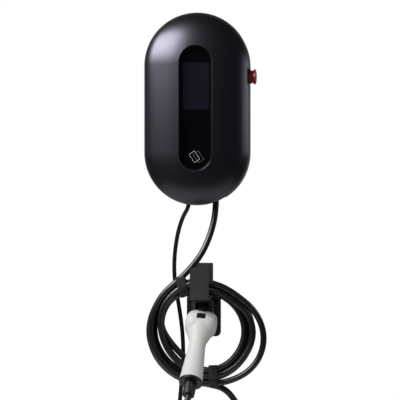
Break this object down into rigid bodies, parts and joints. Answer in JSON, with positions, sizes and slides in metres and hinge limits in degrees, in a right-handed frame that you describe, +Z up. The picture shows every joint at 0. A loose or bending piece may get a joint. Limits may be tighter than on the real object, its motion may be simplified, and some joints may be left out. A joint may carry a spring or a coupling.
{
  "type": "electric vehicle wall charger",
  "caption": "Pill-shaped wall charging station with a long dark window, a side stop button, two cable glands, and a coiled charging cable whose plug sits in a separate wall holder.",
  "frame": {"origin": "centre of the wall bracket's four screw holes, on the wall plane", "axes": "+Z up along the tall housing, +Y into the wall, -Y is the front, +X to the viewer's right"},
  "size_m": [0.2505, 0.2405, 1.1688],
  "materials": {
    "housing_charcoal": "satin moulded",
    "tray_grey": "fine texture",
    "bracket_zinc": "zinc plated",
    "screw_steel": "zinc plated",
    "black_rubber": "matt",
    "lens_black": "polished",
    "display_glass": "glossy",
    "board_green": "solder resist",
    "device_black": "moulded",
    "device_grey": "moulded",
    "terminal_grey": "moulded",
    "brass_screw": "plated",
    "stop_red": "satin",
    "stop_dark_red": "satin",
    "gland_black": "moulded",
    "holder_black": "fine texture",
    "plug_white": "satin moulded",
    "plug_black": "moulded",
    "contact_silver": "silver plated",
    "pin_steel": "ground",
    "cable_black": "satin jacket",
    "core_insulation": "smooth",
    "ferrule_tin": "tinned",
    "tie_fabric": "hook and loop"
  },
  "bodies": {
    "station": {"wall_bracket": "bracket_zinc", "rear_housing": "tray_grey", "bracket_lock_screw": "screw_steel", "housing_gasket": "black_rubber", "front_cover": "housing_charcoal", "cover_screws": "screw_steel", "lens_seal": "black_rubber", "display_lens": "lens_black", "display_module": "display_glass", "display_board": "board_green", "reader_board": "board_green", "board_screws": "screw_steel", "main_board": "board_green", "main_board_screws": "screw_steel", "contactor": "device_black", "power_supply_module": "device_grey", "current_sensor_ring": "device_black", "terminal_block": "terminal_grey", "terminal_screws": "brass_screw", "stop_collar": "stop_dark_red", "stop_locknut": "gland_black", "stop_contact_block": "device_grey", "supply_gland_body": "gland_black", "supply_gland_nut": "gland_black", "supply_gland_locknut": "gland_black", "supply_gland_seal": "black_rubber", "charging_gland_body": "gland_black", "charging_gland_nut": "gland_black", "charging_gland_locknut": "gland_black", "charging_gland_seal": "black_rubber", "cable_holder": "holder_black", "plug_shell_rear": "plug_black", "plug_shell_front": "plug_white", "plug_nose": "plug_black", "plug_contacts": "contact_silver", "plug_nose_seal": "black_rubber", "latch_pin": "pin_steel", "plug_rear_cap": "plug_black", "plug_cap_screws": "screw_steel", "plug_cable_nut": "plug_black", "plug_cable_seal": "black_rubber", "supply_cable": "cable_black", "supply_cores": "core_insulation", "supply_ferrules": "ferrule_tin", "charging_cable_drop": "cable_black", "charging_cable_tail": "cable_black", "charging_cable_coil": "cable_black", "tie_upper": "tie_fabric", "tie_lower": "tie_fabric"},
    "stop_plunger": {"stop_plunger": "stop_dark_red"},
    "stop_head": {"stop_head": "stop_red"},
    "latch_lever": {"latch_lever": "plug_black"}
  },
  "joints": [
    {"name": "stop_press", "type": "slide", "parent": "station", "child": "stop_plunger", "axis": [-1, 0, 0], "range_m": [0, 0.004]},
    {"name": "stop_release_turn", "type": "hinge", "parent": "stop_plunger", "child": "stop_head", "pos_m": [0.13, -0.03, 0.066], "axis": [1, 0, 0], "range_deg": [0, 45], "stiffness_Nm_per_rad": 0.01},
    {"name": "latch_press", "type": "hinge", "parent": "station", "child": "latch_lever", "pos_m": [0.01259, -0.067, -0.42209], "axis": [0.9936, 0, -0.1132], "range_deg": [0, 8], "stiffness_Nm_per_rad": 0.3, "springref_deg": -2.86}
  ]
}
